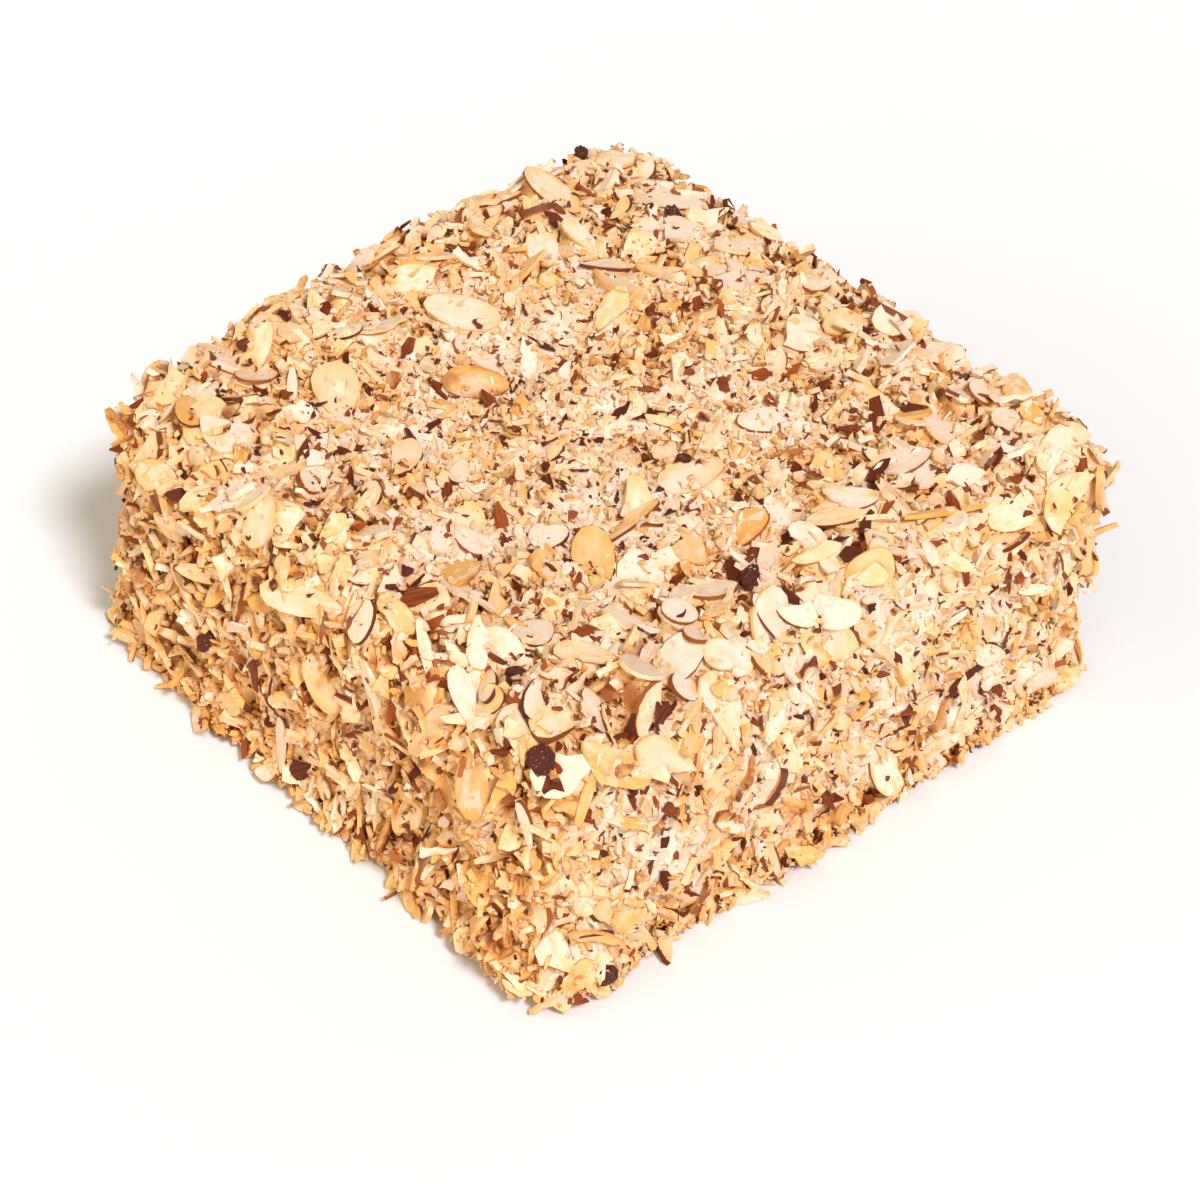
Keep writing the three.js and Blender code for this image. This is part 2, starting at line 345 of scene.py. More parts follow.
def carried_to_body(points, body):
    """Carries points on the square box round the body to the smooth body."""
    half, corner, edge = body.side / 2, body.corner, body.edge
    plan, level = points[:, :2], points[:, 2]
    core = np.clip(plan, corner - half, half - corner)
    out = rounded(plan - core)
    reach = np.linalg.norm(out, axis=1, keepdims=True)
    way = out / np.maximum(reach, 1e-12)
    turn = np.column_stack([reach[:, 0] - (corner - edge), level - (body.height - edge)])
    in_edge = (turn > 0).all(1)
    turn[in_edge] = rounded(turn[in_edge])
    plan = core + way * (turn[:, :1] + corner - edge)
    flare = 1 - np.sin(np.clip(level / body.foot_height, 0, 1) * np.pi / 2)
    plan = plan * (1 + flare[:, None] * body.foot_spread / half)
    height = turn[:, 1] + body.height - edge
    sunk = 1 - smooth_step(np.abs(plan).max(1) / half, *DISH_REACH)
    height = height - np.where(level >= body.height - 1e-9, body.dish * sunk, 0)
    return np.column_stack([plan, height])


def cream_grid(body):
    """The cream's form: a grid for the top, its rim extruded down the walls, and a flat underside."""
    bm = bmesh.new()
    bmesh.ops.create_grid(bm, x_segments=TOP_STEPS, y_segments=TOP_STEPS, size=body.side / 2)
    bmesh.ops.translate(bm, vec=(0, 0, body.height), verts=bm.verts)
    rim = [e for e in bm.edges if e.is_boundary]
    for _ in range(WALL_RINGS):
        made = bmesh.ops.extrude_edge_only(bm, edges=rim)["geom"]
        ring = [v for v in made if isinstance(v, bmesh.types.BMVert)]
        bmesh.ops.translate(bm, vec=(0, 0, -body.height / WALL_RINGS), verts=ring)
        rim = [e for e in made if isinstance(e, bmesh.types.BMEdge) and e.is_boundary]
    bmesh.ops.contextual_create(bm, geom=rim)
    bm.verts.index_update()
    places = np.array([v.co for v in bm.verts])
    for v, place in zip(bm.verts, carried_to_body(places, body), strict=True):
        v.co = place
    bmesh.ops.recalc_face_normals(bm, faces=bm.faces)
    return bm


def waves(points, length, seed):
    """Soft uneven relief from -1 to 1: crossed waves of about this length that never line up."""
    rng = np.random.default_rng(seed)
    total = np.zeros(len(points))
    for _ in range(9):
        way = rng.normal(size=3)
        way *= 2 * np.pi / (length * rng.uniform(0.7, 1.6) * np.linalg.norm(way))
        bend = rng.normal(size=3) * np.pi / length
        total += np.sin(points @ way + 1.4 * np.sin(points @ bend) + rng.uniform(0, 2 * np.pi))
    return total / 4


def bulging(points):
    """How far the hand-spread coat stands over the smooth body at each point, or lies under it."""
    total = np.zeros(len(points))
    for *place, reach, rise in BULGES:
        away = np.linalg.norm(points - np.array(place) * MM, axis=1) / (reach * MM)
        total += rise * MM * np.exp(-away * away)
    return total


# ----------------------------------------
# One shape of each kind, by bmesh operators. A shape is its points, its triangles and where their corners
# lie on the UV map.


def almond_outline(bm, rng, length, width, segments, uneven):
    """The outline of an almond slice as one flat face, blunt at one end and pointed at the other."""
    bmesh.ops.create_circle(bm, cap_ends=True, segments=segments, radius=1)
    taper = rng.uniform(*ALMOND_TAPER)
    for v in bm.verts:
        x, y = v.co.x, v.co.y
        grow = 1 + rng.normal(0, uneven)
        v.co.x = x * grow * length / 2
        v.co.y = y * grow * width / 2 * (1 - taper * x)
    return taper


def break_off(bm, rng, length, width, low, high, step):
    """Snaps the flat piece along a ragged line, low to high of the way from its middle to its rim."""
    angle = rng.uniform(0, 2 * np.pi)
    way = Vector((math.cos(angle), math.sin(angle), 0))
    reach = math.hypot(way.x * length, way.y * width) / 2
    place = way * reach * rng.uniform(low, high)
    geometry = bm.verts[:] + bm.edges[:] + bm.faces[:]
    made = bmesh.ops.bisect_plane(bm, geom=geometry, plane_co=place, plane_no=way, clear_outer=True)
    line = [e for e in made["geom_cut"] if isinstance(e, bmesh.types.BMEdge)]
    steps = int(sum(e.calc_length() for e in line) / step)
    if line and steps > 0:
        made = bmesh.ops.subdivide_edges(bm, edges=line, cuts=steps)["geom_inner"]
        for v in made:
            if isinstance(v, bmesh.types.BMVert):
                out, along = (rng.normal(0, share * step) for share in RAGGED)
                v.co += way * out + way.orthogonal() * along


def slice_shape(rng, length, width, thick, breaks, segments, bend, uneven, step):
    """A slice or a shard of one: the almond's outline, snapped off as asked, thickened and warped."""
    bm = bmesh.new()
    taper = almond_outline(bm, rng, length, width, segments, uneven)
    for low, high in breaks:
        break_off(bm, rng, length, width, low, high, step)
    under = bm.faces[:]
    made = bmesh.ops.extrude_face_region(bm, geom=under, use_keep_orig=True)["geom"]
    raised = [v for v in made if isinstance(v, bmesh.types.BMVert)]
    bmesh.ops.translate(bm, vec=(0, 0, thick), verts=raised)
    bmesh.ops.poke(bm, faces=[f for f in made if isinstance(f, bmesh.types.BMFace)])
    bmesh.ops.triangulate(bm, faces=bm.faces)
    bmesh.ops.recalc_face_normals(bm, faces=bm.faces)
    bm.verts.index_update()
    bm.normal_update()
    points = np.array([v.co for v in bm.verts])
    tris = np.array([[v.index for v in f.verts] for f in bm.faces])
    side = np.array([abs(f.normal.z) < 0.5 for f in bm.faces])
    bm.free()
    # On the UV map the whole slice fills a circle, and its thin side lies just outside it.
    across = points[:, 0] / (length / 2)
    flat = np.column_stack([across, points[:, 1] / (width / 2 * (1 - taper * across))])
    spread = np.where(side[:, None] & (points[tris][:, :, 2] < thick / 2), SIDE_SPREAD, 1)
    places = flat[tris] * spread[:, :, None]
    # The warp: a bow along the piece, a twist, and a thickness that falls off to one side.
    middle = points[:, :2].mean(0)
    u, v = ((points[:, :2] - middle) / length).T
    bow, twist = bend * length * rng.normal(size=2)
    thin = 1 + rng.uniform(-THINNING, THINNING) * (u + v)
    height = (points[:, 2] - thick / 2) * thin + 4 * bow * u * u + 4 * twist * u * v
    return np.column_stack([points[:, :2] - middle, height]), tris, places


def chunk_shape(rng, size, corners):
    """An angular chip: the hull of a few random points in a flattened ball."""
    bm = bmesh.new()
    for _ in range(corners):
        p = rng.normal(size=3)
        p *= rng.uniform(*CHIP_CORNERS) / np.linalg.norm(p)
        bm.verts.new(p * size / 2)
    bmesh.ops.convex_hull(bm, input=bm.verts)
    bmesh.ops.delete(bm, geom=[v for v in bm.verts if not v.link_faces], context="VERTS")
    bmesh.ops.triangulate(bm, faces=bm.faces)
    bmesh.ops.recalc_face_normals(bm, faces=bm.faces)
    bm.verts.index_update()
    return with_round_map(bm)


def with_round_map(bm):
    """The lump as a shape, whose UV map goes out from the middle of one side to the far side."""
    points = np.array([v.co for v in bm.verts])
    tris = np.array([[v.index for v in f.verts] for f in bm.faces])
    bm.free()
    way = points / np.linalg.norm(points, axis=1, keepdims=True)
    out = np.arccos(np.clip(way[:, 2:], -1, 1)) / np.pi * SIDE_SPREAD
    flat = way[:, :2] / np.maximum(np.linalg.norm(way[:, :2], axis=1, keepdims=True), 1e-9) * out
    return points, tris, flat[tris]


def clump_shape(rng, size):
    """A lumpy ball of burnt crumb."""
    bm = bmesh.new()
    bmesh.ops.create_icosphere(bm, subdivisions=3, radius=0.5)
    places = np.array([v.co for v in bm.verts])
    grow = 1
    for height, length in CLUMP_WAVES:
        grow = grow + height * waves(places, length, rng.integers(1000))
    for v, place in zip(bm.verts, places * grow[:, None] * size, strict=True):
        v.co = place
    return with_round_map(bm)


# ----------------------------------------
# The kinds of topping


class Kind:
    """One kind of topping: its shapes, where they lie and how."""

    def __init__(
        self, name, shapes, places, lean, tries=3, any_way_up=False, sink=0.35, raises=1.0, odd=0.14
    ):
        self.name = name
        self.shapes = shapes  # of (points, triangles, places on the UV map)
        self.places = places  # how dense it is on the middle of the top, its rim, the walls and the foot
        self.lean = lean  # how far a piece leans from lying flat, as a spread of slopes
        self.tries = tries  # the piece falls into the deepest hollow of so many places
        self.any_way_up = any_way_up
        self.sink = sink  # share of its thickness that is pressed into what lies below
        self.raises = raises  # share of its thickness that it adds to the pile
        self.odd = odd  # share of the pieces that are much more toasted than the rest
        self.sizes = np.array([np.ptp(points, axis=0) for points, _, _ in shapes])


def sliced(rng, count, length, width, thick, breaks, snapped, **form):
    """Shapes cut from almond slices. Length and thickness are ranges in mm, the width follows from the
    length, and the shapes in turn are snapped off as many times as snapped says."""
    shapes = []
    for i in range(count):
        long = rng.uniform(*length) * MM
        wide = width(long)
        lines = breaks[: snapped[i % len(snapped)]]
        shapes.append(slice_shape(rng, long, wide, rng.uniform(*thick) * MM, lines, **form))
    return shapes


def slice_kind(rng):
    def width(length):
        return min(length * 0.95, rng.uniform(8.5, 12) * MM)

    breaks = [(0.1, 0.7), (0.2, 0.8)]
    form = {"segments": 14, "bend": 0.02, "uneven": 0.015, "step": 2.2 * MM}
    shapes = sliced(rng, 48, (13, 21), width, (0.7, 1.2), breaks, (0, 1, 1, 2), **form)
    return Kind("almond_slices", shapes, (0.08, 1.6, 0.35, 0.0), 0.3, 2, sink=0.2, odd=0.04)


def shard_kind(rng):
    def width(length):
        return min(length * rng.uniform(0.65, 0.95), 12 * MM)

    breaks = [(-0.05, 0.4), (-0.15, 0.5), (0.1, 0.7)]
    form = {"segments": 10, "bend": 0.025, "uneven": 0.05, "step": 2.2 * MM}
    shapes = sliced(rng, 60, (10, 19), width, (0.9, 1.9), breaks, (2, 3), **form)
    return Kind("almond_shards", shapes, (0.4, 1.4, 1.0, 0.5), 0.42, sink=0.2, odd=0.07)


def flake_kind(rng):
    def width(length):
        return length * rng.uniform(0.55, 0.95)

    breaks = [(-0.05, 0.4), (-0.1, 0.5)]
    form = {"segments": 7, "bend": 0.03, "uneven": 0.08, "step": 3.2 * MM}
    shapes = sliced(rng, 80, (5, 11.5), width, (0.7, 1.7), breaks, (2,), **form)
    return Kind("almond_flakes", shapes, (1.5, 1.1, 1.1, 0.9), 0.45)


def sliver_kind(rng):
    def width(length):
        return rng.uniform(1.2, 3.2) * MM

    form = {"segments": 6, "bend": 0.02, "uneven": 0.12, "step": 3 * MM}
    shapes = sliced(rng, 60, (5, 15), width, (0.7, 1.5), [(0.3, 0.9)], (1,), **form)
    return Kind("almond_slivers", shapes, (0.8, 0.7, 1.5, 1.0), 0.45)


def chip_kind(rng):
    shapes = []
    for _ in range(70):
        size = np.array([1, rng.uniform(0.6, 0.95), rng.uniform(0.4, 0.8)]) * rng.uniform(1.8, 5.4) * MM
        shapes.append(chunk_shape(rng, size, 9))
    return Kind("almond_chips", shapes, (2.6, 0.5, 0.4, 1.5), 0.5, 6, any_way_up=True, sink=0.4)


def skin_kind(rng):
    shapes = []
    for _ in range(60):
        length = rng.uniform(1.6, 3.4) * (1 + 2.4 * rng.random() ** 3) * MM
        width = length * rng.uniform(0.3, 0.75)
        if length > CURLED_SKIN:
            breaks = [(-0.1, 0.5), (0.2, 0.8)]
            shapes.append(slice_shape(rng, length, width, SKIN_THICK, breaks, 6, 0.12, 0.12, 1.5 * MM))
        else:
            shapes.append(chunk_shape(rng, np.array([length, width, SKIN_THICK]), 7))
    return Kind("almond_skins", shapes, (2.3, 1.0, 0.7, 1.0), 0.5, 6, raises=0.5)


def crumb_kind(rng):
    shapes = []
    for _ in range(40):
        size = np.array([1, rng.uniform(0.6, 1), rng.uniform(0.4, 0.9)]) * rng.uniform(0.6, 2.0) * MM
        shapes.append(chunk_shape(rng, size, 7))
    return Kind("almond_crumbs", shapes, (1.6, 0.5, 0.3, 13.0), 0.5, 5, True, raises=0.1)


def clump_kind(rng):
    shapes = []
    for _ in range(6):
        size = np.array([1, rng.uniform(0.7, 0.95), rng.uniform(0.5, 0.75)]) * 6.5 * MM
        shapes.append(clump_shape(rng, size))
    return Kind("burnt_clumps", shapes, (0.2, 1.0, 1.0, 1.0), 0.4, 4, any_way_up=True)


KIND_MAKERS = {
    "clumps": clump_kind,
    "slices": slice_kind,
    "shards": shard_kind,
    "flakes": flake_kind,
    "slivers": sliver_kind,
    "chips": chip_kind,
    "skins": skin_kind,
    "crumbs": crumb_kind,
}

# Small pieces fall into the real hollows between large ones, and the whole slices lie on top.
LAYERS = (("shards", "flakes", "slivers"), ("chips", "skins", "crumbs"), ("slices", "clumps"))


# ----------------------------------------
# Laying the pieces

# One copy of a shape: which shape it is, its scale, where its middle is, its axes, the point of the bare
# body under it, how high its top is over that point, and its own tone, or nan.
Copy = namedtuple("Copy", "choice scale middle axes at top tone")


class Pile:
    """The coat as it builds up: how high the almonds stand over each point of the bare body."""

    MOST_LEAN = 0.6  # slope that a piece takes from what lies under it
    MOST_RISE = 1.8  # a leaning piece raises the pile by at most this many times its thickness
    LEAST_REACH = 3 * MM  # a small piece still looks this far round it for what lies under it
    LEAST_POINTS = 4  # and rests on this many points at least
    REST_SHARE = 0.66  # of the points under a piece lie lower than its underside
    TOP_SHARE = 0.35  # of its length times its slope: how far a piece stands up at its high end

    def __init__(self, points, normals):
        self.points, self.normals = points, normals
        self.bare = BARE_WAVES[0] * waves(points, BARE_WAVES[1], 3)
        self.height = self.bare.copy()
        self.tree = KDTree(len(points))
        for i, p in enumerate(points):
            self.tree.insert(p, i)
        self.tree.balance()

    def settle(self, at, place, ahead, size, lean, kind):
        """Lays a piece over the place: finds what is under it, leans it on that, and raises the pile."""
        up = self.normals[at]
        ahead = ahead - up * (ahead @ up)
        ahead /= np.linalg.norm(ahead)
        aside = np.cross(up, ahead)
        length, width, thick = size
        reach = max(length / 2, self.LEAST_REACH)
        near = np.array([i for _, i, _ in self.tree.find_range(place, reach)])
        away = self.points[near] - place
        u, v, drop = away @ ahead, away @ aside, away @ up
        inside = (u / length) ** 2 + (v / width) ** 2 < 0.25
        if inside.sum() < self.LEAST_POINTS:
            inside = np.argsort(u * u + v * v)[: self.LEAST_POINTS]
        near = near[inside]
        u, v, drop = u[inside], v[inside], drop[inside]
        level = self.height[near] + drop
        du, dv = u - u.mean(), v - v.mean()
        slope = np.array([(du @ level) / (du @ du + 1e-9), (dv @ level) / (dv @ dv + 1e-9)])
        slope = slope * min(1, self.MOST_LEAN / (np.linalg.norm(slope) + 1e-9)) + lean
        rest = np.quantile(level - slope[0] * u - slope[1] * v, self.REST_SHARE) - kind.sink * thick
        raised = rest + thick + slope[0] * u + slope[1] * v - drop
        old = self.height[near]
        grown = np.maximum(old, np.minimum(raised, old + self.MOST_RISE * thick))
        self.height[near] = old + kind.raises * (grown - old)
        out = up - slope[0] * ahead - slope[1] * aside
        out /= np.linalg.norm(out)
        ahead = ahead + up * slope[0]
        ahead = ahead - out * (ahead @ out)
        ahead /= np.linalg.norm(ahead)
        axes = np.column_stack([ahead, np.cross(out, ahead), out])
        top = rest + thick + self.TOP_SHARE * (abs(slope[0]) * length + abs(slope[1]) * width)
        return place + up * (rest + thick / 2), axes, top


def regions(points, normals, body):
    """How much of each point belongs to the middle of the top, its rim, the walls and the foot."""
    half = body.side / 2
    top = smooth_step(normals[:, 2], *TOP_FACING)
    reach = np.abs(points[:, :2]).max(1) / half
    middle = top * (1 - smooth_step(reach, *MIDDLE_ENDS))
    foot = (1 - top) * np.exp(-points[:, 2] / FOOT_FADE)
    return np.column_stack([middle, top - middle, (1 - top) - foot, foot])


def creaminess(points, normals):
    """From 0, dry almonds with deep gaps, to 1, almonds that are all but drowned in cream."""
    side = CREAMY_WALL + CREAMY_FACING[1] * normals[:, 1] + CREAMY_FACING[0] * normals[:, 0]
    reach = np.abs(points[:, :2]).max(1) / points[:, 0].max()
    top = CREAMY_TOP[0] - CREAMY_TOP[1] * smooth_step(reach, *CREAMY_ENDS)
    uneven = CREAMY_WAVES[0] * waves(points, CREAMY_WAVES[1], 8)
    return np.clip(side + (top - side) * normals[:, 2] + uneven, 0, 1)


def random_turn(rng):
    """A rotation matrix that turns a chunk any way up."""
    axes, _ = np.linalg.qr(rng.normal(size=(3, 3)))
    return axes * np.sign(np.linalg.det(axes))


def blurred(values, edges, rounds):
    """Evens out a value over the mesh by averaging it with its neighbours."""
    ends = np.concatenate([edges, edges[:, ::-1]])
    count = np.bincount(ends[:, 0], minlength=len(values))
    for _ in range(rounds):
        around = np.bincount(ends[:, 0], values[ends[:, 1]], minlength=len(values)) / np.maximum(count, 1)
        values = 0.5 * (values + around)
    return values


class Coat:
    """The whole coat, laid once: the cream's mesh and its level, and the copies of each kind of topping."""

    SCALES = (0.82, 1.18)  # how much smaller or larger a copy may be than its shape
    OFF_PLACE = 0.4 * MM  # spread of the copies round the points of the bare body
    WILD_SHARE = 0.2  # of the pieces lean twice as far as the rest
    HOLLOW_ROUNDS = 12  # of averaging: the ground that hollows are measured from
    GAP_ROUNDS = 6  # the ground that the cream rises to

    def __init__(self):
        scene = bpy.context.scene
        body, toppings = scene.cake_body, scene.cake_toppings
        self.rng = np.random.default_rng(toppings.seed)
        self.cream = bpy.data.meshes.new("cream_coat")
        bm = cream_grid(body)
        bm.to_mesh(self.cream)
        bm.free()
        self.points = read_vectors(self.cream.vertices, "co", 3)
        self.normals = read_vectors(self.cream.vertex_normals, "vector", 3)
        at_floor = self.points[:, 2] < AT_FLOOR
        self.normals[at_floor, 2] = 0
        self.normals /= np.linalg.norm(self.normals, axis=1, keepdims=True)
        self.points += self.normals * bulging(self.points)[:, None]
        edges = np.empty(len(self.cream.edges) * 2, dtype=np.int32)
        self.cream.edges.foreach_get("vertices", edges)
        self.edges = edges.reshape(-1, 2)
        self.area = np.zeros(len(self.points))
        for polygon in self.cream.polygons:
            if len(polygon.vertices) == 4:
                self.area[list(polygon.vertices)] += polygon.area / 4
        self.area[at_floor] = 0
        self.share = regions(self.points, self.normals, body)
        self.creamy = creaminess(self.points, self.normals)
        self.tone = self.share @ TONES - CREAM_PALES * self.creamy
        self.tone += TONE_CHANGE * self.share[:, 1] * (self.points[:, 1] - self.points[:, 0]) / body.side
        self.kinds = {name: make(self.rng) for name, make in KIND_MAKERS.items()}
        self.copies = {name: [] for name in self.kinds}
        self.pile = Pile(self.points, self.normals)
        for names in LAYERS:
            self.lay(names, toppings)
            self.pile.height = self.roof()
        self.lay_marked()
        self.pile.height = self.roof()
        self.fill_gaps()

    def lay(self, names, toppings):
        """Lays a layer of mixed kinds, each piece in the deepest hollow of a few."""
        even = blurred(self.pile.height, self.edges, self.HOLLOW_ROUNDS)
        order, spots, choices = [], {}, {}
        for name in names:
            kind, count = self.kinds[name], getattr(toppings, name)
            weight = self.area * (self.share @ np.array(kind.places))
            weight /= weight.sum()
            spots[name] = self.rng.choice(len(self.points), size=(count, kind.tries), p=weight)
            choices[name] = self.rng.integers(len(kind.shapes), size=count)
            order += [(when, name, i) for i, when in enumerate(self.rng.random(count))]
        order.sort()
        for _, name, i in order:
            kind, options = self.kinds[name], spots[name][i]
            at = options[np.argmin(self.pile.height[options] - even[options])]
            choice = choices[name][i]
            scale = self.rng.uniform(*self.SCALES)
            wild = 2 if self.rng.random() < self.WILD_SHARE else 1
            lean = self.rng.normal(0, kind.lean * wild, 2)
            place = self.points[at] + self.rng.normal(0, self.OFF_PLACE, 3)
            size = kind.sizes[choice] * scale
            ahead = self.rng.normal(size=3) + (0, 0, UPRIGHT * (1 - self.normals[at, 2]))
            middle, axes, top = self.pile.settle(at, place, ahead, size, lean, kind)
            middle = middle - self.normals[at] * max(0, top - MOST_PROUD)
            if kind.any_way_up:
                axes = axes @ random_turn(self.rng)
            self.copies[name].append(Copy(choice, np.full(3, scale), middle, axes, at, top, math.nan))

    def lay_marked(self):
        """Lays the pieces that have places of their own on top of the pile."""
        for name, marks in MARKED.items():
            kind = self.kinds[name]
            for *ends, across, tone in marks:
                start, end = np.array(ends).reshape(2, 3) * MM
                place = (start + end) / 2
                at = self.pile.tree.find(place)[1]
                up = self.normals[at]
                place = place - up * ((place - self.points[at]) @ up)
                choice = self.rng.integers(len(kind.shapes))
                width = across * MM
                thick = min(kind.sizes[choice][2], THICKEST_MARK * width)
                size = np.array([np.linalg.norm(end - start), width, thick])
                middle, axes, top = self.pile.settle(at, place, end - start, size, np.zeros(2), kind)
                middle = middle - up * max(0, top - MOST_PROUD)
                scale = size / kind.sizes[choice]
                self.copies[name].append(Copy(choice, scale, middle, axes, at, top, tone))

    def roof(self):
        """How high the real surface of the pile is over each point of the bare body."""
        groups = [g for name, copies in self.copies.items() for g in groups_of(self.kinds[name], copies)]
        points, tris = joined(groups)
        tree = BVHTree.FromPolygons(points.tolist(), tris.tolist(), all_triangles=True)
        above = (self.points + self.normals * ROOF_REACH).tolist()
        inward = (-self.normals).tolist()
        hits = [tree.ray_cast(p, way, ROOF_REACH)[3] for p, way in zip(above, inward, strict=True)]
        rise = np.array([0.0 if far is None else ROOF_REACH - far for far in hits])
        return np.maximum(rise, self.pile.bare)

    def fill_gaps(self):
        """Raises the cream between the pieces, and takes away those that it drowns."""
        height = blurred(self.pile.height, self.edges, self.GAP_ROUNDS)
        rough = np.sqrt(blurred((self.pile.height - height) ** 2, self.edges, self.GAP_ROUNDS))
        self.surface = height + ROUGH_RISE * rough
        gap = (DRY_GAP[0] - CREAMY_GAP[0] * self.creamy) * MM
        gap += (DRY_GAP[1] - CREAMY_GAP[1] * self.creamy) * rough
        gap += FOOT_GAP * self.share[:, 3]
        level = height - gap + LEVEL_WAVES[0] * waves(self.points, LEVEL_WAVES[1], 6)
        level = blurred(level, self.edges, 1)
        self.level = np.maximum(level, 0) - FOOT_TUCK * self.share[:, 3]
        # Painted shade: hollow rises with the depth of the gap over the cream, and the cream's material
        # darkens by it. It also thins the film of cream on the pieces.
        self.hollow = smooth_step(self.surface - self.level, *GAP_SHADE_DEPTH)
        for name, copies in self.copies.items():
            self.copies[name] = [c for c in copies if c.top > self.level[c.at] - DROWNED]

    def sunken(self, places):
        """How deep each place lies in the pile, which sets its painted shade, and how much it is smeared
        with cream, 0 to 1.
        """
        nearest = np.array([self.pile.tree.find(p)[1] for p in places])
        rise = ((places - self.points[nearest]) * self.normals[nearest]).sum(1)
        # Painted shade: deep rises the further a place lies under the pile's surface, and the material
        # darkens by it.
        deep = smooth_step(self.surface[nearest] - rise, *PIECE_SHADE_DEPTH)
        near = 1 - smooth_step(rise - self.level[nearest], *SMEAR_REACH)
        film = DRY_SMEAR + (1 - DRY_SMEAR) * self.creamy[nearest]
        return deep, near * film * (1 - self.hollow[nearest])


@functools.cache
def laid_coat():
    """The one coat that all the pieces are taken from."""
    return Coat()


def read_vectors(items, name, width):
    """The same property of all the items of a mesh, one row for each."""
    values = np.empty(len(items) * width)
    items.foreach_get(name, values)
    return values.reshape(-1, width)


def write_masks(mesh, masks):
    """Stores values from 0 to 1 on the points of a mesh, for its material."""
    for name, values in masks.items():
        mesh.attributes.new(name, "FLOAT", "POINT").data.foreach_set("value", values.astype(np.float32))


def groups_of(kind, copies):
    """Yields the copies shape by shape: the copies, their points, the shape's triangles and UV places."""
    for choice, (shape, corners, flat) in enumerate(kind.shapes):
        mine = [c for c in copies if c.choice == choice]
        if not mine:
            continue
        scale = np.array([c.scale for c in mine])[:, None, :]
        middle = np.array([c.middle for c in mine])[:, None, :]
        axes = np.array([c.axes for c in mine])
        placed = (shape[None] * scale) @ axes.transpose(0, 2, 1) + middle
        placed[:, :, 2] += np.maximum(0, FLOOR_GAP - placed[:, :, 2].min(1))[:, None]
        yield mine, placed, corners, flat


def joined(groups):
    """The points and the triangles of all the groups, numbered on from one copy to the next."""
    points, tris, base = [], [], 0
    for _, placed, corners, _ in groups:
        start = base + np.arange(len(placed)) * placed.shape[1]
        points.append(placed.reshape(-1, 3))
        tris.append((corners[None] + start[:, None, None]).reshape(-1, 3))
        base += len(points[-1])
    return np.concatenate(points), np.concatenate(tris)


def joined_copies(coat, name, rng):
    """One mesh of all the copies of a kind, on the floor or above it."""
    kind = coat.kinds[name]
    groups = list(groups_of(kind, coat.copies[name]))
    if not groups:
        raise RuntimeError("no copies of " + name + " stand out of the cream")
    places = []
    for mine, _, _, flat in groups:
        tone = coat.tone[[c.at for c in mine]] + rng.normal(0, TONE_SPREAD, len(mine))
        tone += np.where(rng.random(len(mine)) < kind.odd, rng.uniform(*ODD_TONE, len(mine)), 0)
        given = np.array([c.tone for c in mine])
        tone = np.where(np.isnan(given), tone, given)
        column = np.floor(np.clip(tone, 0, 0.999) * CELLS)
        cell = np.column_stack([column, rng.integers(CELLS, size=len(mine))])[:, None, None, :]
        places.append(((cell + 0.5 + CELL_FILL * flat[None]) / CELLS).reshape(-1, 2))
    points, tris = joined(groups)
    mesh = bpy.data.meshes.new(kind.name)
    mesh.vertices.add(len(points))
    mesh.vertices.foreach_set("co", points.ravel())
    mesh.loops.add(tris.size)
    mesh.loops.foreach_set("vertex_index", tris.ravel().astype(np.int32))
    mesh.polygons.add(len(tris))
    mesh.polygons.foreach_set("loop_start", np.arange(0, tris.size, 3, dtype=np.int32))
    mesh.uv_layers.new(name=UV_MAP)
    mesh.uv_layers[UV_MAP].data.foreach_set("uv", np.concatenate(places).ravel().astype(np.float32))
    mesh.update(calc_edges=True)
    mesh.validate()
    # deep carries the painted shade of the pile's depths, and smeared the real film of cream.
    deep, smeared = coat.sunken(points)
    write_masks(mesh, {"deep": deep, "smeared": smeared})
    return mesh


# ----------------------------------------
# Materials


class Tree:
    """Shorthand for adding linked nodes to a material or a node group."""

    def __init__(self, tree):
        self.tree = tree

    def node(self, kind, inputs=None, **settings):
        node = self.tree.nodes.new("ShaderNode" + kind)
        for name, value in settings.items():
            setattr(node, name, value)
        for socket, value in (inputs or {}).items():
            if isinstance(value, bpy.types.NodeSocket):
                self.tree.links.new(value, node.inputs[socket])
            else:
                node.inputs[socket].default_value = value
        return node

    def math(self, operation, *values):
        return self.node("Math", dict(enumerate(values)), operation=operation).outputs[0]

    def vector(self, operation, **inputs):
        names = {"a": 0, "b": 1, "scale": "Scale"}
        inputs = {names[name]: value for name, value in inputs.items()}
        return self.node("VectorMath", inputs, operation=operation).outputs[0]

    def step(self, value, low, high):
        """Rises smoothly from 0 at low to 1 at high."""
        inputs = {"Value": value, "From Min": low, "From Max": high}
        return self.node("MapRange", inputs, interpolation_type="SMOOTHSTEP").outputs["Result"]

    def mix(self, share, a, b, blend="MIX"):
        return self.node("Mix", {0: share, 6: a, 7: b}, data_type="RGBA", blend_type=blend).outputs[2]

    def noise(self, vector, scale, detail=2.0, rough=0.5):
        inputs = {"Vector": vector, "Scale": scale, "Detail": detail, "Roughness": rough}
        return self.node("TexNoise", inputs).outputs["Fac"]

    def mask(self, name):
        """A value from 0 to 1 that is stored on the mesh."""
        return self.node("Attribute", attribute_name=name).outputs["Fac"]

    def link(self, output, socket):
        self.tree.links.new(output, socket)

    def bump(self, height, strength, depth, shader):
        inputs = {"Height": height, "Strength": strength, "Distance": depth}
        self.link(self.node("Bump", inputs).outputs[0], shader["Normal"])


def opaque(colour):
    return (*colour, 1.0)


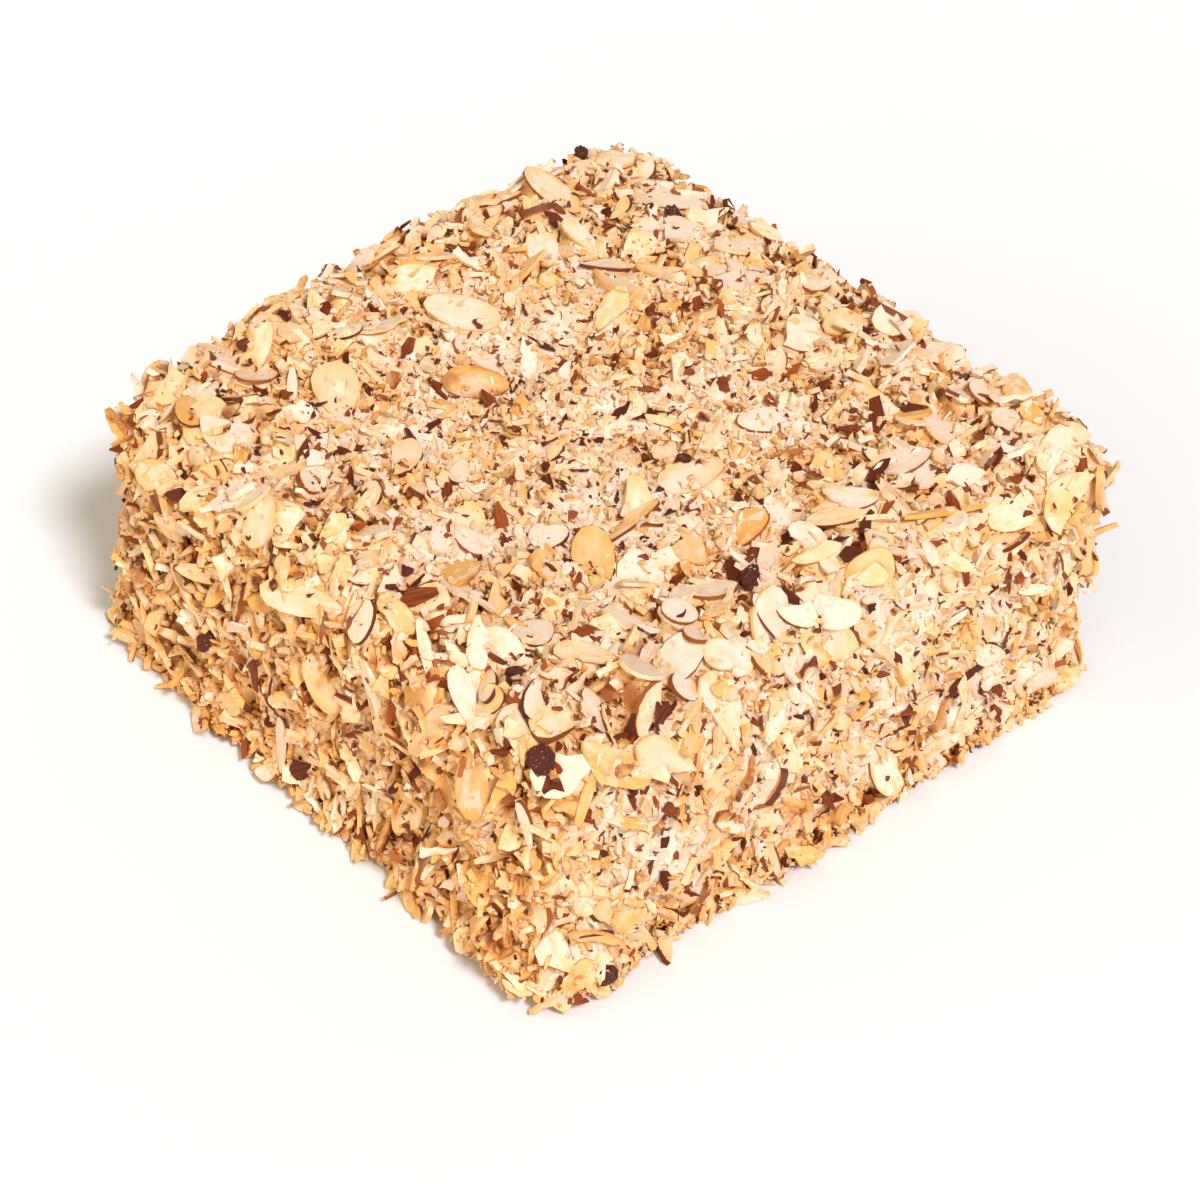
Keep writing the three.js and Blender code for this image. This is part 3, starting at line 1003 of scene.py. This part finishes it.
def new_group(name, inputs, outputs):
    """A shader node group with named sockets: its shorthand, and its input and output nodes."""
    group = bpy.data.node_groups.new(name, "ShaderNodeTree")
    for label, kind, default in inputs:
        socket = group.interface.new_socket(label, in_out="INPUT", socket_type="NodeSocket" + kind)
        if default is not None:
            socket.default_value = default
    for label, kind in outputs:
        group.interface.new_socket(label, in_out="OUTPUT", socket_type="NodeSocket" + kind)
    return Tree(group), group.nodes.new("NodeGroupInput").outputs, group.nodes.new("NodeGroupOutput").inputs


@functools.cache
def almond_look():
    """The look of an almond piece, read from its place on the UV map."""
    colours = bpy.context.scene.cake_colours
    shades = ("pale", "ivory", "honey", "amber", "toasted", "skin", "cream")
    tree, given, out = new_group(
        "Almond look",
        [("Place", "Vector", None)]
        + [(name.capitalize(), "Color", opaque(getattr(colours, name))) for name in shades]
        + [("Smeared", "Float", 0.0), ("Skin Share", "Float", 0.4), ("Spots", "Float", 0.5)],
        [("Color", "Color"), ("Roughness", "Float"), ("Height", "Float")],
    )
    spread = tree.vector("SCALE", a=given["Place"], scale=CELLS)
    cell = tree.vector("FLOOR", a=spread)
    local = tree.vector("SUBTRACT", a=tree.vector("FRACTION", a=spread), b=(0.5, 0.5, 0))
    distance = tree.node("VectorMath", {0: local}, operation="LENGTH").outputs["Value"]
    rim = tree.math("DIVIDE", distance, CELL_FILL)
    chance = tree.node("TexWhiteNoise", {"Vector": cell}, noise_dimensions="3D").outputs["Color"]
    chance = tree.node("SeparateColor", {0: chance}).outputs
    # How toasted: the piece's own tone, patches across it and a warmer rim. The warmer rim and thin side are
    # partly real toasting and partly a painted warm glow, for edges that let light through or turn away from
    # it.
    tone = tree.math("DIVIDE", tree.node("SeparateXYZ", {0: cell}).outputs[0], CELLS - 1)
    patch = tree.math("SUBTRACT", tree.noise(spread, 2.6, 3.0, 0.6), 0.5)
    tone = tree.math("MULTIPLY_ADD", patch, 0.8, tone)
    tone = tree.math("MULTIPLY_ADD", tree.step(rim, 0.6, 1.0), 0.1, tone)
    tone = tree.math("MULTIPLY_ADD", tree.step(rim, 0.98, 1.04), 0.2, tone)
    colour = tree.mix(tree.step(tone, 0.05, 0.45), given["Pale"], given["Ivory"])
    colour = tree.mix(tree.step(tone, 0.4, 0.8), colour, given["Honey"])
    colour = tree.mix(tree.step(tone, 0.85, 1.2), colour, given["Toasted"])
    # Amber patches where the flesh is soaked and the light comes through.
    soaked = tree.math("MULTIPLY", tree.step(tree.noise(spread, 1.7, 2.0), 0.52, 0.66), chance[2])
    colour = tree.mix(tree.math("MULTIPLY", soaked, 0.4), colour, given["Amber"])
    # Fine lines along the piece.
    lines = tree.noise(tree.vector("MULTIPLY", a=spread, b=(3, 30, 1)), 1.0, 2.0, 0.6)
    colour = tree.mix(tree.math("MULTIPLY", tree.step(lines, 0.52, 0.72), 0.28), colour, given["Honey"])
    # A film of cream on some pieces, and most of all where a piece comes out of the cream.
    film = tree.math("MULTIPLY_ADD", given["Smeared"], 0.5, tree.noise(spread, 4.1, 3.0))
    share = tree.math("MAXIMUM", chance[1], given["Smeared"])
    film = tree.math("MULTIPLY", tree.step(film, 0.52, 0.64), share)
    colour = tree.mix(tree.math("MULTIPLY", film, 0.75), colour, given["Cream"])
    # Scraps and specks of skin.
    scraps = tree.math("MULTIPLY", tree.step(tree.noise(spread, 5.0, 4.0, 0.65), 0.62, 0.65), given["Spots"])
    colour = tree.mix(scraps, colour, given["Toasted"])
    specks = tree.math("MULTIPLY", tree.step(tree.noise(spread, 17.0, 1.0), 0.7, 0.74), given["Spots"])
    colour = tree.mix(specks, colour, given["Skin"])
    # The brown skin on the edge that was the outside of the nut.
    ragged = tree.math("MULTIPLY_ADD", tree.noise(spread, 9.0, 2.0), 0.1, rim)
    edge = tree.math("LESS_THAN", chance[0], given["Skin Share"])
    edge = tree.math("MULTIPLY", tree.step(ragged, 1.0, 1.04), edge)
    colour = tree.mix(edge, colour, tree.mix(chance[1], given["Skin"], given["Toasted"]))
    tree.link(colour, out["Color"])
    tree.link(tree.math("MULTIPLY_ADD", tree.noise(spread, 7.0, 2.0), 0.3, 0.4), out["Roughness"])
    pits = tree.noise(spread, 11.0, 4.0, 0.7)
    tree.link(tree.math("MULTIPLY_ADD", lines, 0.4, pits), out["Height"])
    return tree.tree


def new_material(name):
    """A material, the shorthand for its tree, and its Principled shader's inputs."""
    material = bpy.data.materials.new(name)
    material.use_nodes = True
    return material, Tree(material.node_tree), material.node_tree.nodes["Principled BSDF"].inputs


@functools.cache
def almond_material(name, skin_share, spots):
    material, tree, shader = new_material(name)
    place = tree.node("UVMap", uv_map=UV_MAP).outputs[0]
    look = tree.node("Group", node_tree=almond_look())
    tree.link(place, look.inputs["Place"])
    tree.link(tree.mask("smeared"), look.inputs["Smeared"])
    look.inputs["Skin Share"].default_value = skin_share
    look.inputs["Spots"].default_value = spots
    # Painted shade: the colour is warmed and darkened by how deep the piece lies in the pile.
    add_painted_shade(tree, look.outputs["Color"], tree.mask("deep"), shader)
    tree.link(look.outputs["Roughness"], shader["Roughness"])
    tree.bump(look.outputs["Height"], 0.7, 0.25 * MM, shader)
    shader["Specular IOR Level"].default_value = 0.4
    return material


@functools.cache
def painted_depth_shade():
    """Paints light on a colour that lies deep in the pile, where light comes only through other almonds:
    first a painted warm glow, then painted shade further down.
    """
    colours = bpy.context.scene.cake_colours
    tree, given, out = new_group(
        "Sunken colour",
        [("Color", "Color", None), ("Deep", "Float", 0.0)]
        + [(name.capitalize(), "Color", opaque(getattr(colours, name))) for name in ("glow", "shade")],
        [("Color", "Color")],
    )
    # Painted glow just under the top of the pile, then painted shade where it lies deeper.
    colour = tree.mix(tree.step(given["Deep"], 0.0, 0.6), given["Color"], given["Glow"], "MULTIPLY")
    tree.link(tree.mix(tree.step(given["Deep"], 0.5, 1.1), colour, given["Shade"], "MULTIPLY"), out["Color"])
    return tree.tree


def add_painted_shade(tree, colour, deep, shader):
    """Feeds the colour through the painted glow and painted shade to the shader."""
    sunken = tree.node("Group", node_tree=painted_depth_shade())
    tree.link(colour, sunken.inputs["Color"])
    tree.link(deep, sunken.inputs["Deep"])
    tree.link(sunken.outputs["Color"], shader["Base Color"])


@functools.cache
def skin_material():
    colours = bpy.context.scene.cake_colours
    material, tree, shader = new_material("almond_skin")
    place = tree.node("UVMap", uv_map=UV_MAP).outputs[0]
    spread = tree.vector("SCALE", a=place, scale=CELLS)
    chance = tree.node("TexWhiteNoise", {"Vector": tree.vector("FLOOR", a=spread)}).outputs["Value"]
    streaks = tree.noise(tree.vector("MULTIPLY", a=spread, b=(2, 12, 1)), 1.0, 3.0, 0.6)
    share = tree.math("MULTIPLY_ADD", streaks, 1.6, tree.math("MULTIPLY_ADD", chance, 0.9, -0.8))
    colour = tree.mix(tree.step(share, 0.1, 1.0), opaque(colours.skin), opaque(colours.skin_light))
    # Painted shade: the skin is darkened by how deep it lies in the pile.
    add_painted_shade(tree, colour, tree.mask("deep"), shader)
    shader["Roughness"].default_value = 0.65
    shader["Specular IOR Level"].default_value = 0.2
    tree.bump(streaks, 0.6, 0.2 * MM, shader)
    return material


@functools.cache
def clump_material():
    colours = bpy.context.scene.cake_colours
    material, tree, shader = new_material("burnt_crumb")
    place = tree.node("TexCoord").outputs["Object"]
    grain = tree.noise(place, 1100.0, 3.0, 0.6)
    colour = tree.mix(tree.step(grain, 0.42, 0.62), opaque(colours.clump), opaque(colours.skin))
    specks = tree.step(tree.noise(place, 1500.0, 4.0, 0.7), 0.62, 0.7)
    tree.link(tree.mix(specks, colour, opaque(colours.cream)), shader["Base Color"])
    shader["Roughness"].default_value = 0.75
    shader["Specular IOR Level"].default_value = 0.2
    tree.bump(grain, 0.8, 0.5 * MM, shader)
    return material


@functools.cache
def cream_material():
    """Cream with fine crumbs in it, whitest where it lies on top, and browned in the gaps by painted shade.
    """
    colours = bpy.context.scene.cake_colours
    material, tree, shader = new_material("whipped_cream")
    place = tree.node("TexCoord").outputs["Object"]
    soaked = tree.math("MULTIPLY_ADD", tree.noise(place, 160.0, 3.0, 0.6), 2.2, -0.75)
    soaked = tree.math("SUBTRACT", soaked, tree.math("MULTIPLY", tree.mask("creamy"), 0.7))
    colour = tree.mix(tree.step(soaked, 0.0, 0.9), opaque(colours.cream), opaque(colours.honey))
    crumbs = tree.node("TexVoronoi", {"Vector": place, "Scale": 620.0})
    crumb = tree.node("SeparateColor", {0: crumbs.outputs["Color"]}).outputs
    colour = tree.mix(tree.math("MULTIPLY", crumb[0], 0.55), colour, opaque(colours.ivory))
    specks = tree.step(tree.noise(place, 620.0, 3.0, 0.6), 0.62, 0.66)
    colour = tree.mix(tree.math("MULTIPLY", specks, 0.85), colour, opaque(colours.toasted))
    # Painted shade: the cream browns in the gaps, the more the deeper they are.
    add_painted_shade(tree, colour, tree.mask("hollow"), shader)
    shader["Roughness"].default_value = 0.5
    rough = tree.math("MULTIPLY_ADD", crumbs.outputs["Distance"], -0.6, tree.noise(place, 700.0, 4.0, 0.6))
    tree.bump(rough, 0.6, 0.4 * MM, shader)
    return material


# ----------------------------------------
# Operators


def add_piece(mesh, material):
    """Puts a finished mesh in the scene as a piece that rides with the cake and replaces its solid."""
    piece = bpy.data.objects.new(mesh.name, mesh)
    bpy.context.scene.collection.objects.link(piece)
    mesh.materials.append(material)
    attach(piece, "root")
    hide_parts(CAKE_NODE)


class CAKE_OT_cream(bpy.types.Operator):
    """Coat the cake with cream, which rises between the almonds that are pressed into it"""

    bl_idname = "cake.cream"
    bl_label = "Cream coat"

    def execute(self, context):
        coat = laid_coat()
        cream = coat.cream
        moved = coat.points + coat.normals * coat.level[:, None]
        moved[coat.points[:, 2] < AT_FLOOR, 2] = 0
        moved[:, 2] = np.maximum(moved[:, 2], 0)
        cream.vertices.foreach_set("co", moved.ravel())
        cream.update()
        # hollow carries the painted shade of the gaps, and creamy the amount of cream.
        write_masks(cream, {"hollow": coat.hollow, "creamy": coat.creamy})
        cream.shade_smooth()
        add_piece(cream, cream_material())
        return {"FINISHED"}


def lay_kind(name, material):
    """Adds the piece that holds every copy of one kind of topping. Each kind has its own seed."""
    coat = laid_coat()
    rng = np.random.default_rng(sum(map(ord, name)))
    mesh = joined_copies(coat, name, rng)
    mesh.shade_smooth()
    mesh.set_sharp_from_angle(angle=math.radians(SHARP_ANGLE))
    add_piece(mesh, material)
    return {"FINISHED"}


class CAKE_OT_slices(bpy.types.Operator):
    """Lay the whole and nearly whole almond slices"""

    bl_idname = "cake.slices"
    bl_label = "Almond slices"

    def execute(self, context):
        return lay_kind("slices", almond_material("sliced_almond", 0.4, 0.3))


class CAKE_OT_shards(bpy.types.Operator):
    """Lay the large broken pieces of slices"""

    bl_idname = "cake.shards"
    bl_label = "Almond shards"

    def execute(self, context):
        return lay_kind("shards", almond_material("broken_almond", 0.4, 0.7))


class CAKE_OT_flakes(bpy.types.Operator):
    """Lay the small broken pieces of slices"""

    bl_idname = "cake.flakes"
    bl_label = "Almond flakes"

    def execute(self, context):
        return lay_kind("flakes", almond_material("broken_almond", 0.4, 0.7))


class CAKE_OT_slivers(bpy.types.Operator):
    """Lay the narrow splinters of slices"""

    bl_idname = "cake.slivers"
    bl_label = "Almond slivers"

    def execute(self, context):
        return lay_kind("slivers", almond_material("splintered_almond", 0.22, 0.7))


class CAKE_OT_chips(bpy.types.Operator):
    """Lay the chopped, angular chips"""

    bl_idname = "cake.chips"
    bl_label = "Almond chips"

    def execute(self, context):
        return lay_kind("chips", almond_material("chopped_almond", 0.25, 0.8))


class CAKE_OT_skins(bpy.types.Operator):
    """Lay the flakes of brown almond skin"""

    bl_idname = "cake.skins"
    bl_label = "Skin flakes"

    def execute(self, context):
        return lay_kind("skins", skin_material())


class CAKE_OT_clumps(bpy.types.Operator):
    """Lay the dark lumps of burnt crumb"""

    bl_idname = "cake.clumps"
    bl_label = "Burnt clumps"

    def execute(self, context):
        return lay_kind("clumps", clump_material())


class CAKE_OT_crumbs(bpy.types.Operator):
    """Lay the fine crumbs, most of them along the foot"""

    bl_idname = "cake.crumbs"
    bl_label = "Crumbs"

    def execute(self, context):
        return lay_kind("crumbs", almond_material("almond_crumb", 0.3, 0.8))


def add_floor(scene):
    """The plain floor that the cake stands on, which isn't part of it."""
    bm = bmesh.new()
    bmesh.ops.create_grid(bm, x_segments=1, y_segments=1, size=FLOOR_HALF)
    mesh = bpy.data.meshes.new("floor")
    bm.to_mesh(mesh)
    bm.free()
    floor = bpy.data.objects.new("floor", mesh)
    scene.collection.objects.link(floor)
    material, _, shader = new_material("pale_floor")
    shader["Base Color"].default_value = opaque(scene.cake_colours.floor)
    shader["Roughness"].default_value = 0.9
    mesh.materials.append(material)


def way_from(azimuth, elevation):
    """The direction from the cake to something that stands at these angles."""
    turn = Matrix.Rotation(azimuth, 3, "Z") @ Matrix.Rotation(-elevation, 3, "X")
    return turn @ Vector((0, -1, 0))


def stand(name, data, place, way, scene):
    """Adds a camera or a lamp at the place, turned to look back along the way."""
    thing = bpy.data.objects.new(name, data)
    thing.location = place
    thing.rotation_euler = way.to_track_quat("Z", "Y").to_euler()
    scene.collection.objects.link(thing)
    return thing


class CAKE_OT_stage(bpy.types.Operator):
    """Set up the pale floor, the soft lights and the camera"""

    bl_idname = "cake.stage"
    bl_label = "Stage"

    def execute(self, context):
        scene, stage = context.scene, context.scene.cake_stage
        add_floor(scene)
        back = way_from(stage.azimuth, stage.elevation)
        camera = bpy.data.cameras.new("camera")
        camera.lens = stage.lens
        scene.camera = stand("camera", camera, Vector(stage.aim) + back * stage.distance, back, scene)
        for name, (turn, lift, spread, colour) in LAMPS.items():
            lamp = bpy.data.lights.new(name, "SUN")
            lamp.angle, lamp.energy, lamp.color = math.radians(spread), getattr(stage, name), colour
            way = way_from(stage.azimuth + math.radians(turn), math.radians(lift))
            stand(name, lamp, way * LAMP_DISTANCE, way, scene)
        world = bpy.data.worlds.new("studio")
        world.use_nodes = True
        backdrop = world.node_tree.nodes["Background"].inputs
        backdrop["Color"].default_value = SKY
        backdrop["Strength"].default_value = stage.sky
        scene.world = world
        scene.view_settings.view_transform = "Standard"
        return {"FINISHED"}


OPERATORS = (
    CAKE_OT_cream,
    CAKE_OT_slices,
    CAKE_OT_shards,
    CAKE_OT_flakes,
    CAKE_OT_slivers,
    CAKE_OT_chips,
    CAKE_OT_skins,
    CAKE_OT_clumps,
    CAKE_OT_crumbs,
    CAKE_OT_stage,
)


class CAKE_PT_panel(bpy.types.Panel):
    """Lists the steps that dress the cake"""

    bl_idname = "CAKE_PT_panel"
    bl_label = "Almond crunch cake"
    bl_space_type = "VIEW_3D"
    bl_region_type = "UI"
    bl_category = "Cake"

    def draw(self, context):
        for operator in OPERATORS:
            self.layout.operator(operator.bl_idname)


CLASSES = (CakeBody, CakeToppings, CakeColours, CakeStage, *OPERATORS, CAKE_PT_panel)
SETTINGS = {
    "cake_body": CakeBody,
    "cake_toppings": CakeToppings,
    "cake_colours": CakeColours,
    "cake_stage": CakeStage,
}


def register():
    for cls in CLASSES:
        bpy.utils.register_class(cls)
    for name, group in SETTINGS.items():
        setattr(bpy.types.Scene, name, bpy.props.PointerProperty(type=group))


def unregister():
    for name in SETTINGS:
        delattr(bpy.types.Scene, name)
    for cls in reversed(CLASSES):
        bpy.utils.unregister_class(cls)


def main():
    register()
    for operator in OPERATORS:
        group, name = operator.bl_idname.split(".")
        getattr(getattr(bpy.ops, group), name)()


if __name__ == "__main__":
    main()
